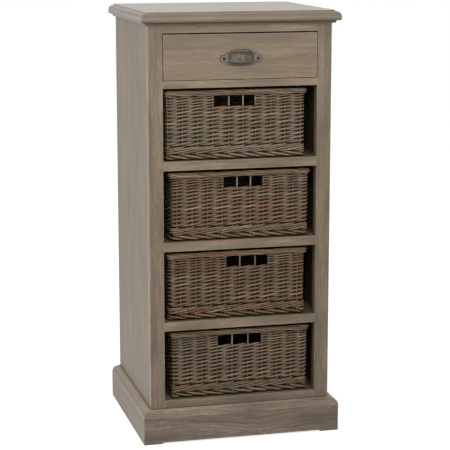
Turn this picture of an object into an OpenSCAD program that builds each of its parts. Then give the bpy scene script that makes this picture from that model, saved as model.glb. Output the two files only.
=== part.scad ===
// Tall narrow storage cabinet: one drawer over four open bays, each bay with a woven basket.
// Millimetres, +Z up. The front faces -Y. The origin is on the floor, under the middle of
// the cabinet's outline, cup pull included.

/* [Carcass] */
// Width over the face frame
carcass_w = 410; // [380:2:440]
// Depth from the face frame to the back edges of the sides
carcass_d = 374; // [350:2:400]
// Thickness of the side panels
side_t = 18; // [16:1:20]
// Thickness of the back panel
back_t = 6; // [4:1:9]
// Width of the rebate that holds the back panel
back_rebate = 9; // [7:1:11]
// Thickness of the face frame
frame_t = 22; // [19:1:25]
// Visible width of a stile
stile_w = 32; // [29:1:36]
// Height of the rail above the drawer
top_rail_h = 17; // [14:1:22]
// Height of the rail below the drawer
drawer_rail_h = 16; // [14:1:22]
// Depth of the rail below the drawer
drawer_rail_d = 60; // [50:2:80]
// Clear height of each open bay
bay_h = 158.5; // [145:0.5:170]
// Thickness of the three shelves
shelf_t = 20; // [17:1:23]
// Height of the lowest bay's floor above the ground
base_h = 93; // [84:1:100]
// Thickness of the bottom shelf
bottom_t = 18; // [15:1:20]
// Depth of the grooves in the side panels that hold the shelves
housing_d = 5; // [3:1:8]
// Thickness of the stretcher under the back of the bottom shelf
stretcher_t = 18; // [15:1:20]
// Side of a glue block
block_w = 30; // [24:1:36]
// Height of the bottom rail's lower edge above the ground
low_edge_z = 20; // [10:1:30]

/* [Top board] */
// Thickness of the top board
top_t = 28; // [26:1:31]
// How far the top board's nose stands out from the face frame and the sides
top_out = 17; // [14:1:20]
// Radius of the rounded upper edge
nose_r = 11; // [9:1:12]
// Height of the square step above the rounded edge
nose_step_h = 2.5; // [1.5:0.5:3]
// Distance from the nose to the square step
nose_step_in = 12; // [12:0.5:14]
// Height of the flat on the nose
nose_flat = 6; // [4:0.5:6]
// Radius under the nose
nose_under_r = 2.5; // [1.5:0.5:2.5]
// Distance from the nose to the hollow below it
hollow_in = 5; // [4:0.5:6]
// Square edge left under the hollow
hollow_foot = 0.5; // [0.5:0.5:1]

/* [Plinth] */
// Height of the plinth
plinth_h = 75; // [70:1:80]
// How far the plinth stands out from the face frame and the sides
plinth_out = 20; // [18:1:24]
// Radius of the rounded upper edge
plinth_r = 13; // [10:1:14]
// Height of the small step above the rounded edge
plinth_step_h = 1.5; // [1:0.5:2]
// Set-back of the small step
plinth_step_in = 1.5; // [1:0.5:2]
// Width of the two feet left under the plinth's front
foot_w = 43; // [36:1:50]
// Height of the shallow cut between the feet
foot_cut = 3; // [2:0.5:4]

/* [Drawer] */
// Height of the drawer opening
drawer_opening_h = 102; // [96:1:112]
// Gap above the drawer front
front_gap_top = 3; // [2:0.5:4]
// Gap beside the drawer front
front_gap_side = 1.5; // [1:0.5:2.5]
// Gap below the drawer front
front_gap_low = 1.5; // [1:0.5:2.5]
// Thickness of the drawer front
front_t = 18; // [16:1:20]
// Thickness of the drawer's sides and back
drawer_side_t = 12; // [10:1:14]
// Gap between the drawer's sides and the edges of the opening
drawer_side_gap = 3.5; // [3:0.5:5]
// Height of the drawer's sides
drawer_side_h = 84; // [78:1:86]
// Thickness of the drawer's bottom panel
drawer_bottom_t = 6; // [4:1:8]
// Height of the groove for the bottom panel above the sides' lower edges
drawer_groove_z = 9; // [8:1:12]
// Depth of the groove for the bottom panel
drawer_groove_d = 5; // [4:0.5:6]
// Free space behind the closed drawer
drawer_back_gap = 38; // [30:1:50]
// Gap under the drawer and under each basket when it rests
seat_gap = 0.3; // [0.2:0.1:0.4]
// Gap between a drawer side and its guide
guide_gap = 0.7; // [0.5:0.1:1]
// Gap between a drawer side and the kicker above it
kicker_gap = 1.5; // [1:0.5:2]
// Width of a runner
runner_w = 37; // [34:1:40]
// Height of a runner's side guide
guide_h = 17; // [12:1:20]
// Width of a kicker
kicker_w = 32; // [30:1:36]
// Height of a stop block
stop_h = 6; // [4:1:7]
// Width and depth of a stop block
stop_size = [40, 12]; // [10:1:60]
// Distance between the stop blocks' centres
stop_spacing = 160; // [120:2:200]

/* [Cup pull] */
// Distance between the pull's two screws
pull_screw_spacing = 76; // [64:1:96]
// Height of the screws above the drawer rail
pull_z = 45.5; // [40:0.5:52]
// How far the cup stands out from the drawer front
pull_out = 24; // [20:1:26]
// Radius of the cup round its upright axis
cup_r = 28.5; // [27:0.5:30]
// Radius of the cup's rounded upper edge
cup_round_r = 10; // [8:1:12]
// Height of the cup's straight part
cup_lip_h = 10; // [8:0.5:11]
// Distance from the screws down to the cup's lip
cup_low = 6.5; // [5:0.5:8]
// Thickness of the pull's metal
pull_t = 1.6; // [1.2:0.1:2]
// Radius of the ears round the screws
ear_r = 7.8; // [7:0.2:9]
// Radius of the plate's arched top
arch_r = 60; // [56:1:64]
// Height of the full arch above the screws
arch_top = 20.6; // [20:0.2:22]
// Height above the screws at which the arch is cut flat
arch_flat = 19.4; // [18:0.2:20]
// Radius of the plate's shallow lower edge
plate_low_r = 500; // [460:10:540]
// Distance from the screws down to the plate's lower edge
plate_low = 8.8; // [8.4:0.2:10]
// Radius of the pull screws' shanks
pull_screw_r = 1.6; // [1.4:0.1:2]
// Radius of the pull screws' heads
pull_head_r = 3; // [2.8:0.1:3.6]
// Length of the pull screws' shanks
pull_screw_l = 14; // [10:1:15]

/* [Baskets] */
// Gap between a centred basket's rim and the sides of its bay
basket_side_gap = 11; // [10:1:16]
// Gap between a basket's rim and the shelf above
basket_head_gap = 6; // [5:1:20]
// Distance from the face frame's front to a basket's rim
basket_set = 4; // [2:1:24]
// Free space behind a basket
basket_back_gap = 44; // [20:1:50]
// How far each basket stands to the right of its bay's middle, from the top bay down
basket_shift = [-8, 1, -4, 2]; // [-8:1:8]
// How far each hand hole is to the right of its basket's middle
hole_shift = [-3, 8, 22, -1]; // [-24:1:24]
// Height of the rolled rim
rim_h = 13; // [11:1:15]
// Thickness of the rolled rim
rim_t = 12; // [10:1:13]
// How far the woven wall is set in from the rim
wall_in = 4; // [2:0.5:5]
// Thickness of the woven wall
wall_t = 9.5; // [8:0.5:10.5]
// Depth of the grooves between the wall's rows of rods
row_groove = 2; // [1:0.5:3]
// Rows of rods below the hand hole
rows_below = 10; // [8:1:12]
// Rows of rods beside the hand hole
rows_beside = 4; // [3:1:5]
// How much higher the lowest row is than the middle ones, as a share of a row
row_taper = 0.12; // [0:0.02:0.2]
// How far the wall leans in from the rim to the foot
wall_lean = 2; // [1:0.5:8]
// Height of the plaited foot
basket_foot_h = 31; // [26:1:34]
// Thickness of the plaited foot
basket_foot_t = 11; // [10:1:13]
// How far the plaited foot stands out from the wall
basket_foot_out = 1.5; // [1:0.5:3]
// Radius of the basket's corners
basket_r = 8; // [6:1:20]
// Height of the woven floor's underside above the shelf
basket_floor_z = 6; // [4:1:10]
// Thickness of the woven floor
basket_floor_t = 8; // [6:1:10]
// Width and height of the hand hole
hole_size = [92, 24]; // [20:1:110]
// Radius of the bare stakes in the hand hole
stake_r = 2.2; // [1.8:0.1:2.6]

/* [Hidden] */
$fn = 48;
bays = 4;
eps = 1;
corner_steps = 4;
inner_r = 1;

// Levels
step_h = bay_h + shelf_t;
drawer_rail_z = base_h + bays * bay_h + (bays - 1) * shelf_t;
opening_z = drawer_rail_z + drawer_rail_h;
top_rail_z = opening_z + drawer_opening_h;
carcass_h = top_rail_z + top_rail_h;
function bay_z(i) = base_h + (bays - 1 - i) * step_h;

// Widths and depths
opening_w = carcass_w - 2 * stile_w;
inner_w = carcass_w - 2 * side_t;
plinth_w = carcass_w + 2 * plinth_out;
front_y = pull_out - (carcass_d + pull_out) / 2;
back_y = front_y + carcass_d;
panel_y = back_y - back_t;

// Drawer
drawer_front_z = opening_z + front_gap_low;
drawer_front_h = drawer_opening_h - front_gap_low - front_gap_top;
drawer_z = opening_z + seat_gap;
drawer_half_w = opening_w / 2 - drawer_side_gap;
drawer_inner_y = front_y + front_t;
drawer_end_y = panel_y - drawer_back_gap;
drawer_panel_z = drawer_z + drawer_groove_z;
kicker_z = drawer_z + drawer_side_h + kicker_gap;
pull_screw_z = opening_z + pull_z;

// Baskets
basket_h = bay_h - basket_head_gap;
rim_w = opening_w - 2 * basket_side_gap;
rim_d = panel_y - basket_back_gap - basket_set - front_y;
basket_y = front_y + basket_set + rim_d / 2;
wall_h = basket_h - rim_h - basket_foot_h;
wall_top_w = rim_w - 2 * wall_in;
wall_top_d = rim_d - 2 * wall_in;
wall_low_w = wall_top_w - 2 * wall_lean;
wall_low_d = wall_top_d - 2 * wall_lean;
basket_foot_w = wall_low_w + 2 * basket_foot_out;
basket_foot_d = wall_low_d + 2 * basket_foot_out;
below_hole_h = wall_h - hole_size[1];

// Screws
screw_r = 2;
screw_head_r = 4;
screw_head_h = 3;
top_screw_l = 46;
top_screw_in = 60;
back_screw_l = 24;
back_screw_rows = 3;

limed_oak = [0.55, 0.49, 0.43];
limed_top = [0.68, 0.66, 0.63];
drawer_wood = [0.70, 0.62, 0.50];
pewter = [0.42, 0.40, 0.36];
dark_steel = [0.12, 0.10, 0.08];
willow = [0.42, 0.35, 0.28];
willow_dark = [0.35, 0.29, 0.23];

// A block given by its lowest corner and its highest corner
module block(low, high) {
    translate(low) cube(high - low);
}

// A rectangle with round corners, centred
module rounded_rect(w, d, r) {
    square([w - 2 * r, d], center = true);
    square([w, d - 2 * r], center = true);
    for (x = [-1, 1], y = [-1, 1]) {
        translate([x * (w / 2 - r), y * (d / 2 - r)]) circle(r);
    }
}

// A countersunk wood screw along +Z, its head's flat face at z = 0
module wood_screw(length) {
    cylinder(h = screw_head_h, r1 = screw_head_r, r2 = screw_r);
    cylinder(h = length, r = screw_r);
}

// Top board
// The moulded edge: the nose is at x = 0, and the board fills the side of lower x
module top_edge(reach) {
    nose_z = top_t - nose_step_h - nose_r;
    land_z = nose_z - nose_flat;
    hollow_z = land_z - nose_under_r;
    hollow_r = hollow_z - hollow_foot;
    difference() {
        union() {
            translate([-reach, 0]) square([reach - nose_step_in, top_t]);
            translate([-reach, 0]) square([reach - nose_r, top_t - nose_step_h]);
            translate([-reach, 0]) square([reach - hollow_in, nose_z]);
            translate([-reach, hollow_z]) square([reach - nose_under_r, nose_z - hollow_z]);
            translate([-reach, land_z]) square([reach, nose_flat]);
            translate([-nose_under_r, land_z]) circle(nose_under_r);
            intersection() {
                translate([-nose_r, nose_z]) circle(nose_r);
                translate([-nose_r, nose_z]) square(nose_r);
            }
        }
        translate([-hollow_in - hollow_r, -eps]) square([hollow_in + hollow_r + eps, eps + hollow_foot]);
        translate([-hollow_in, hollow_foot]) circle(hollow_r);
        translate([-hollow_in, 0]) square([hollow_in + eps, hollow_z]);
    }
}

module top_board() {
    half_w = carcass_w / 2 + top_out;
    nose_y = front_y - top_out;
    depth = back_y - nose_y;
    color(limed_top) difference() {
        intersection() {
            translate([0, back_y, carcass_h]) rotate([90, 0, 0]) linear_extrude(depth) {
                translate([half_w, 0]) top_edge(half_w);
                mirror([1, 0]) translate([half_w, 0]) top_edge(half_w);
            }
            translate([-half_w, 0, carcass_h]) rotate([90, 0, 90]) linear_extrude(2 * half_w) {
                mirror([1, 0]) translate([-nose_y, 0]) top_edge(depth);
            }
        }
        for (side = [0, 1], k = [0, 1]) {
            mirror([side, 0, 0]) top_screw_at(k) cylinder(h = top_screw_l, r = screw_r);
        }
    }
}

// Face frame
module stile(side) {
    outer = carcass_w / 2;
    color(limed_oak) block(
        [side > 0 ? outer - stile_w : -outer, front_y, 0],
        [side > 0 ? outer : stile_w - outer, front_y + frame_t, carcass_h]
    );
}

module top_rail() {
    color(limed_oak) block(
        [-opening_w / 2, front_y, top_rail_z],
        [opening_w / 2, front_y + frame_t, carcass_h]
    );
}

module bottom_rail() {
    color(limed_oak) block(
        [-opening_w / 2, front_y, low_edge_z],
        [opening_w / 2, front_y + frame_t, base_h]
    );
}

// A board that shows between the stiles and is housed in both side panels behind them
module framed_board(z, t, end_y) {
    half_w = inner_w / 2 + housing_d;
    color(limed_oak) union() {
        block([-opening_w / 2, front_y, z], [opening_w / 2, front_y + frame_t, z + t]);
        block([-half_w, front_y + frame_t, z], [half_w, end_y, z + t]);
    }
}

module drawer_rail() {
    framed_board(drawer_rail_z, drawer_rail_h, front_y + drawer_rail_d);
}

// The shelf under bay i, where bay 0 is the highest
module shelf(i) {
    framed_board(bay_z(i) - shelf_t, shelf_t, panel_y);
}

module bottom_shelf() {
    half_w = inner_w / 2 + housing_d;
    color(limed_oak) block(
        [-half_w, front_y + frame_t, base_h - bottom_t],
        [half_w, panel_y, base_h]
    );
}

// Sides and back
module side_panel(side) {
    inner = inner_w / 2;
    color(limed_oak) mirror([side > 0 ? 0 : 1, 0, 0]) difference() {
        block([inner, front_y + frame_t, 0], [inner + side_t, back_y, carcass_h]);
        for (i = [0:bays - 2]) {
            block([inner - eps, front_y, bay_z(i) - shelf_t], [inner + housing_d, panel_y, bay_z(i)]);
        }
        block([inner - eps, front_y, base_h - bottom_t], [inner + housing_d, panel_y, base_h]);
        block(
            [inner - eps, front_y, drawer_rail_z],
            [inner + housing_d, front_y + drawer_rail_d, opening_z]
        );
        block(
            [inner - eps, panel_y, base_h - bottom_t],
            [inner + back_rebate, back_y + eps, carcass_h + eps]
        );
        for (k = [0:back_screw_rows - 1]) {
            back_screw_at(k) cylinder(h = back_screw_l, r = screw_r);
        }
    }
}

module back_panel() {
    half_w = inner_w / 2 + back_rebate;
    color(limed_oak) difference() {
        block([-half_w, panel_y, base_h - bottom_t], [half_w, back_y, carcass_h]);
        for (side = [0, 1], k = [0:back_screw_rows - 1]) {
            mirror([side, 0, 0]) back_screw_at(k) wood_screw(back_screw_l);
        }
    }
}

module back_stretcher() {
    color(limed_oak) block(
        [-inner_w / 2, back_y - stretcher_t, 0],
        [inner_w / 2, back_y, base_h - bottom_t]
    );
}

// Puts a screw at row k of the right-hand edge of the back panel, pointing forward
module back_screw_at(k) {
    low = base_h + bay_h / 2;
    span = carcass_h - bay_h - base_h;
    x = inner_w / 2 + back_rebate / 2;
    z = low + k * span / (back_screw_rows - 1);
    translate([x, back_y, z]) rotate([90, 0, 0]) children();
}

module back_screws() {
    color(dark_steel) for (side = [0, 1], k = [0:back_screw_rows - 1]) {
        mirror([side, 0, 0]) back_screw_at(k) wood_screw(back_screw_l);
    }
}

// Plinth
// The moulded board: its face is at x = 0, and it fills the side of lower x
module plinth_section() {
    round_z = plinth_h - plinth_step_h - plinth_r;
    translate([-plinth_out, 0]) square([plinth_out, round_z]);
    translate([-plinth_out, 0]) square([plinth_out - plinth_r, plinth_h - plinth_step_h]);
    translate([-plinth_out, 0]) square([plinth_out - plinth_r - plinth_step_in, plinth_h]);
    intersection() {
        translate([-plinth_r, round_z]) circle(plinth_r);
        translate([-plinth_r, round_z]) square(plinth_r);
    }
}

module plinth_front() {
    half_w = plinth_w / 2;
    face_y = front_y - plinth_out;
    color(limed_oak) difference() {
        intersection() {
            translate([-half_w, 0, 0]) rotate([90, 0, 90]) linear_extrude(plinth_w) {
                mirror([1, 0]) translate([-face_y, 0]) plinth_section();
            }
            linear_extrude(plinth_h) polygon([
                [-half_w, face_y], [half_w, face_y],
                [half_w - plinth_out, front_y], [plinth_out - half_w, front_y]
            ]);
        }
        block([foot_w - half_w, face_y - eps, -eps], [half_w - foot_w, front_y + eps, foot_cut]);
    }
}

module plinth_side(side) {
    half_w = plinth_w / 2;
    face_y = front_y - plinth_out;
    color(limed_oak) mirror([side > 0 ? 0 : 1, 0, 0]) intersection() {
        translate([half_w, back_y, 0]) rotate([90, 0, 0]) linear_extrude(back_y - face_y) {
            plinth_section();
        }
        linear_extrude(plinth_h) polygon([
            [half_w, face_y], [half_w, back_y],
            [half_w - plinth_out, back_y], [half_w - plinth_out, front_y]
        ]);
    }
}

module glue_blocks() {
    top_z = base_h - bottom_t;
    inner = inner_w / 2;
    inside_y = front_y + frame_t;
    color(drawer_wood) for (side = [0, 1]) {
        mirror([side, 0, 0]) {
            block([inner - block_w, inside_y, low_edge_z], [inner, inside_y + block_w, top_z]);
            block(
                [inner - block_w, back_y - stretcher_t - block_w, 0],
                [inner, back_y - stretcher_t, top_z]
            );
        }
    }
}

// Drawer guides inside the cabinet
module runner(side) {
    inner = inner_w / 2;
    color(drawer_wood) mirror([side > 0 ? 0 : 1, 0, 0]) union() {
        block([inner - runner_w, front_y + drawer_rail_d, drawer_rail_z], [inner, panel_y, opening_z]);
        block(
            [drawer_half_w + guide_gap, front_y + frame_t, opening_z],
            [inner, panel_y, opening_z + guide_h]
        );
    }
}

module kicker(side) {
    inner = inner_w / 2;
    color(drawer_wood) mirror([side > 0 ? 0 : 1, 0, 0]) difference() {
        block([inner - kicker_w, front_y + frame_t, kicker_z], [inner, panel_y, carcass_h]);
        for (k = [0, 1]) {
            top_screw_at(k) wood_screw(top_screw_l);
        }
    }
}

// Puts a screw at place k of the right-hand kicker, pointing up into the top board
module top_screw_at(k) {
    x = inner_w / 2 - kicker_w / 2;
    y = k == 0 ? front_y + frame_t + top_screw_in : panel_y - top_screw_in;
    translate([x, y, kicker_z]) children();
}

module top_screws() {
    color(dark_steel) for (side = [0, 1], k = [0, 1]) {
        mirror([side, 0, 0]) top_screw_at(k) wood_screw(top_screw_l);
    }
}

module drawer_stops() {
    y = drawer_inner_y + seat_gap;
    color(drawer_wood) for (side = [-1, 1]) {
        x = side * stop_spacing / 2;
        block(
            [x - stop_size[0] / 2, y, opening_z],
            [x + stop_size[0] / 2, y + stop_size[1], opening_z + stop_h]
        );
    }
}

// Drawer
module drawer_panel(clear) {
    half_w = drawer_half_w - drawer_side_t + drawer_groove_d;
    block(
        [-half_w, drawer_inner_y - drawer_groove_d, drawer_panel_z],
        [half_w, drawer_end_y + clear, drawer_panel_z + drawer_bottom_t]
    );
}

module pull_screw_at(side) {
    translate([side * pull_screw_spacing / 2, front_y - pull_t, pull_screw_z]) rotate([-90, 0, 0]) {
        children();
    }
}

module drawer_front() {
    half_w = opening_w / 2 - front_gap_side;
    color(limed_oak) difference() {
        block(
            [-half_w, front_y, drawer_front_z],
            [half_w, drawer_inner_y, drawer_front_z + drawer_front_h]
        );
        drawer_panel(0);
        for (side = [-1, 1]) {
            pull_screw_at(side) cylinder(h = pull_screw_l, r = pull_screw_r);
        }
    }
}

module drawer_side(side) {
    color(drawer_wood) mirror([side > 0 ? 0 : 1, 0, 0]) difference() {
        block(
            [drawer_half_w - drawer_side_t, drawer_inner_y, drawer_z],
            [drawer_half_w, drawer_end_y, drawer_z + drawer_side_h]
        );
        drawer_panel(eps);
    }
}

module drawer_back() {
    half_w = drawer_half_w - drawer_side_t;
    color(drawer_wood) block(
        [-half_w, drawer_end_y - drawer_side_t, drawer_panel_z + drawer_bottom_t],
        [half_w, drawer_end_y, drawer_z + drawer_side_h]
    );
}

module drawer_bottom() {
    color(drawer_wood) drawer_panel(0);
}

// Cup pull, in its own frame: x across, z up, screws at z = 0, the drawer's face at y = 0
module cup_shape(inset, low) {
    round_z = cup_lip_h - cup_low;
    r = cup_r - inset;
    round_r = cup_round_r - inset;
    translate([0, cup_r - pull_out, 0]) rotate_extrude($fn = 64) intersection() {
        union() {
            translate([0, -low]) square([r, round_z + low]);
            translate([0, round_z]) square([r - round_r, round_r]);
            translate([r - round_r, round_z]) circle(round_r);
        }
        translate([0, -low]) square([r, round_z + low + round_r]);
    }
}

module plate_outline() {
    reach = pull_screw_spacing / 2 + pull_t;
    intersection() {
        translate([0, arch_top - arch_r]) circle(arch_r, $fn = 120);
        translate([0, plate_low_r - plate_low]) circle(plate_low_r, $fn = 180);
        translate([-reach, -plate_low]) square([2 * reach, plate_low + arch_flat]);
    }
    for (side = [-1, 1]) {
        translate([side * reach, 0]) circle(ear_r);
    }
}

module cup_pull() {
    color(pewter) translate([0, front_y, pull_screw_z]) difference() {
        union() {
            rotate([90, 0, 0]) linear_extrude(pull_t) plate_outline();
            intersection() {
                cup_shape(0, cup_low);
                block([-cup_r, -pull_out - eps, -plate_low], [cup_r, -pull_t / 2, arch_top]);
            }
        }
        cup_shape(pull_t, plate_low + eps);
        for (side = [-1, 1]) {
            translate([side * pull_screw_spacing / 2, eps, 0]) rotate([90, 0, 0]) {
                cylinder(h = pull_t + 2 * eps, r = pull_screw_r);
            }
        }
    }
}

module pull_screws() {
    color(dark_steel) for (side = [-1, 1]) {
        pull_screw_at(side) {
            cylinder(h = pull_screw_l, r = pull_screw_r);
            translate([0, 0, -pull_head_r / 2]) cylinder(h = pull_head_r / 2, r = pull_head_r);
        }
    }
}

// Baskets
// Puts a basket in bay i, with its middle at x = 0, y = 0 and its foot at z = 0
module in_bay(i) {
    translate([basket_shift[i], basket_y, bay_z(i) + seat_gap]) children();
}

module basket_ring(w, d, t, h) {
    linear_extrude(h) difference() {
        rounded_rect(w, d, basket_r);
        rounded_rect(w - 2 * t, d - 2 * t, max(basket_r - t, inner_r));
    }
}

module basket_rim(i) {
    color(willow) in_bay(i) translate([0, 0, basket_h - rim_h]) basket_ring(rim_w, rim_d, rim_t, rim_h);
}

module basket_foot(i) {
    color(willow) in_bay(i) {
        basket_ring(basket_foot_w, basket_foot_d, basket_foot_t, basket_foot_h);
    }
}

module basket_floor(i) {
    color(willow_dark) in_bay(i) translate([0, 0, basket_floor_z]) linear_extrude(basket_floor_t) {
        rounded_rect(
            basket_foot_w - 2 * basket_foot_t,
            basket_foot_d - 2 * basket_foot_t,
            max(basket_r - basket_foot_t, inner_r)
        );
    }
}

// Height at which row k of the wall begins, above the wall's lower edge
function row_edge(k) = k > rows_below
    ? below_hole_h + hole_size[1] * (k - rows_below) / rows_beside
    : below_hole_h * k / rows_below * (1 + row_taper * (1 - k / rows_below));

// One ring of points on the leaning wall at height z, made smaller all round by inset
function wall_ring(z, inset) = let(
    lean = wall_lean * (1 - z / wall_h),
    r = max(basket_r - inset, inner_r),
    mid_x = wall_top_w / 2 - lean - inset - r,
    mid_y = wall_top_d / 2 - lean - inset - r
) [
    for (corner = [0:3], k = [0:corner_steps])
        let(
            turn = 90 * (corner + k / corner_steps),
            side_x = corner == 0 || corner == 3 ? 1 : -1,
            side_y = corner < 2 ? 1 : -1
        )
        [side_x * mid_x + r * cos(turn), side_y * mid_y + r * sin(turn), z]
];

// The woven wall: a ridge for each row of rods outside, plain inside
module woven_wall() {
    rows = rows_below + rows_beside;
    rings = concat(
        [for (k = [0:rows - 1]) each [
            wall_ring(row_edge(k), row_groove),
            wall_ring((row_edge(k) + row_edge(k + 1)) / 2, 0)
        ]],
        [wall_ring(wall_h, row_groove), wall_ring(wall_h, wall_t), wall_ring(0, wall_t)]
    );
    count = len(rings);
    size = len(rings[0]);
    polyhedron(
        points = [for (ring = rings) each ring],
        faces = [for (j = [0:count - 1], k = [0:size - 1]) [
            j * size + k,
            (j + 1) % count * size + k,
            (j + 1) % count * size + (k + 1) % size,
            j * size + (k + 1) % size
        ]]
    );
}

module basket_sides(i) {
    hole_w = hole_size[0];
    hole_h = hole_size[1];
    color(willow_dark) in_bay(i) translate([0, 0, basket_foot_h]) difference() {
        woven_wall();
        translate([hole_shift[i] - hole_w / 2, -rim_d, below_hole_h]) cube([hole_w, rim_d, hole_h + eps]);
    }
}

module basket_stakes(i) {
    hole_w = hole_size[0];
    hole_h = hole_size[1];
    top_z = basket_h - rim_h;
    lean_y = wall_lean * hole_h / (2 * wall_h);
    color(willow) in_bay(i) for (side = [-1, 1]) {
        translate([
            hole_shift[i] + side * hole_w / 6,
            lean_y - (wall_top_d - wall_t) / 2,
            top_z - hole_h
        ]) cylinder(h = hole_h, r = stake_r);
    }
}

top_board();
side_panel(-1);  // side_panel_left
side_panel(1);  // side_panel_right
stile(-1);  // stile_left
stile(1);  // stile_right
top_rail();
drawer_rail();
shelf(0);  // shelf_upper
shelf(1);  // shelf_middle
shelf(2);  // shelf_lower
bottom_shelf();
bottom_rail();
back_panel();
back_stretcher();
plinth_front();
plinth_side(-1);  // plinth_left
plinth_side(1);  // plinth_right
glue_blocks();
kicker(-1);  // kicker_left
kicker(1);  // kicker_right
top_screws();
back_screws();
runner(-1);  // runner_left
runner(1);  // runner_right
drawer_stops();
drawer_front();
drawer_side(-1);  // drawer_side_left
drawer_side(1);  // drawer_side_right
drawer_back();
drawer_bottom();
cup_pull();
pull_screws();
for (i = [0:bays - 1]) {
    basket_sides(i);
    basket_rim(i);
    basket_foot(i);
    basket_floor(i);
    basket_stakes(i);
}
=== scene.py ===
import math
import random

import bpy
import numpy as np
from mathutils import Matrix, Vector


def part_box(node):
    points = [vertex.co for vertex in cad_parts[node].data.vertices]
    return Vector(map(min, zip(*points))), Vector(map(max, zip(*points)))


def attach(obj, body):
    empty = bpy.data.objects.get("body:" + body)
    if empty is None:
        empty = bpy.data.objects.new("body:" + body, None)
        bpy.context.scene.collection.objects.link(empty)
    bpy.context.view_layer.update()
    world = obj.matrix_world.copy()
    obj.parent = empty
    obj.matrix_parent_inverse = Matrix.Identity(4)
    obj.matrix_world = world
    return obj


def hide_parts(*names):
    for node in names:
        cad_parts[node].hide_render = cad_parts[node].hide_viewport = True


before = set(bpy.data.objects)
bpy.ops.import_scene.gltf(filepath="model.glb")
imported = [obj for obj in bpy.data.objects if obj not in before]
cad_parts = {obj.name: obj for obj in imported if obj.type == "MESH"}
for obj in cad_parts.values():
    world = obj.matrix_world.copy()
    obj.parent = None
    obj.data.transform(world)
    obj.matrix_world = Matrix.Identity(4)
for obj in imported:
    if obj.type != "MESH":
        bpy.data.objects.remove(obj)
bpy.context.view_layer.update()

bpy.ops.object.select_all(action="DESELECT")
scene = bpy.context.scene
scene.view_settings.view_transform = "Standard"

# Camera
# It stands to the left of the cabinet and a little above it, at the photograph's angle.
camera_place = (-0.8680, -3.4407, 1.1365)
camera_down = 10.951
camera_turn = -14.297
camera_lens = 125.12
camera_sensor = 36
camera_data = bpy.data.cameras.new("camera")
camera_data.sensor_width = camera_sensor
camera_data.lens = camera_lens
camera = bpy.data.objects.new("camera", camera_data)
camera.location = camera_place
camera.rotation_euler = (math.radians(90 - camera_down), 0, math.radians(camera_turn))
scene.collection.objects.link(camera)
scene.camera = camera


# White room and studio floor
# A pale floor that keeps the cabinet's shadow, in a white room. Camera and mirror rays
# see the room white, and everything else gets its softer light.
def new_material(name):
    material = bpy.data.materials.new(name)
    material.use_nodes = True
    material.node_tree.nodes.clear()
    return material


def put(tree, kind, sockets, **settings):
    made = tree.nodes.new("ShaderNode" + kind)
    for key, value in settings.items():
        setattr(made, key, value)
    for key, value in sockets.items():
        if isinstance(value, bpy.types.NodeSocket):
            tree.links.new(value, made.inputs[key])
        else:
            made.inputs[key].default_value = value
    return made


def maths(tree, operation, a, b=0.0, c=0.0):
    return put(tree, "Math", {0: a, 1: b, 2: c}, operation=operation).outputs[0]


def seen_rays(tree):
    """1 for rays from the camera and for those that mirrors and glass send on."""
    path = put(tree, "LightPath", {})
    first = maths(tree, "MAXIMUM", path.outputs["Is Camera Ray"], path.outputs["Is Glossy Ray"])
    return maths(tree, "MAXIMUM", first, path.outputs["Is Transmission Ray"])


room_light = 0.38
room = bpy.data.worlds.new("white_room")
scene.world = room
room.use_nodes = True
tree = room.node_tree
tree.nodes.clear()
level = put(tree, "MapRange", {0: seen_rays(tree), 3: room_light, 4: 1.0})
shine = put(tree, "Background", {"Color": (1, 1, 1, 1), "Strength": level.outputs[0]})
put(tree, "OutputWorld", {"Surface": shine.outputs[0]})

floor_size = 16.0
floor_z = -0.0005
floor_colour = (0.80, 0.80, 0.80, 1)
floor_glow = 0.70
bpy.ops.mesh.primitive_plane_add(size=floor_size, location=(0, 0, floor_z))
floor = bpy.context.object
floor.name = "studio_floor"
pale = new_material("pale_floor")
tree = pale.node_tree
matte = put(tree, "BsdfDiffuse", {"Color": floor_colour})
glow = put(tree, "Emission", {"Strength": maths(tree, "MULTIPLY", seen_rays(tree), floor_glow)})
both = put(tree, "AddShader", {0: matte.outputs[0], 1: glow.outputs[0]})
put(tree, "OutputMaterial", {"Surface": both.outputs[0]})
floor.data.materials.append(pale)
bpy.ops.object.select_all(action="DESELECT")


# Studio lamps
# One soft lamp in front of the drawer, close enough to fade towards the plinth, and one
# to the left.
def soft_lamp(name, place, aim, size, power):
    data = bpy.data.lights.new(name, "AREA")
    data.shape = "SQUARE"
    data.size = size
    data.energy = power
    lamp = bpy.data.objects.new(name, data)
    lamp.location = place
    lamp.rotation_euler = (Vector(aim) - Vector(place)).to_track_quat("-Z", "Y").to_euler()
    lamp.visible_camera = False
    scene.collection.objects.link(lamp)


soft_lamp("front_lamp", place=(-0.08, -1.50, 1.34), aim=(0, -0.15, 0.85), size=1.2, power=12)
soft_lamp("side_lamp", place=(-2.3, -0.5, 1.9), aim=(-0.2, 0, 0.6), size=1.4, power=31)


# Limed oak
# Solid oak brushed open, rubbed with a grey-white wax that stays in the pores, and worn
# pale along the edges. The pattern follows the attribute "grain": metres along the
# fibres, across the board and through it. "tone" makes parts of a board darker or paler;
# it carries the boards' painted light and shade.
def vector_maths(tree, operation, *values, output="Vector"):
    made = put(tree, "VectorMath", dict(enumerate(values)), operation=operation)
    return made.outputs[output]


def mix(tree, factor, a, b, how="MIX"):
    made = put(tree, "Mix", {0: factor, 6: a, 7: b}, data_type="RGBA", blend_type=how)
    return made.outputs[2]


def times(tree, colour, light):
    """The colour made darker or paler by a number."""
    level = put(tree, "CombineColor", {0: light, 1: light, 2: light}).outputs[0]
    return mix(tree, 1.0, colour, level, "MULTIPLY")


def noise(tree, vector, scale, detail=4.0, roughness=0.5):
    made = put(tree, "TexNoise", {
        "Vector": vector, "Scale": scale, "Detail": detail, "Roughness": roughness,
    })
    return made.outputs[0]


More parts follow.
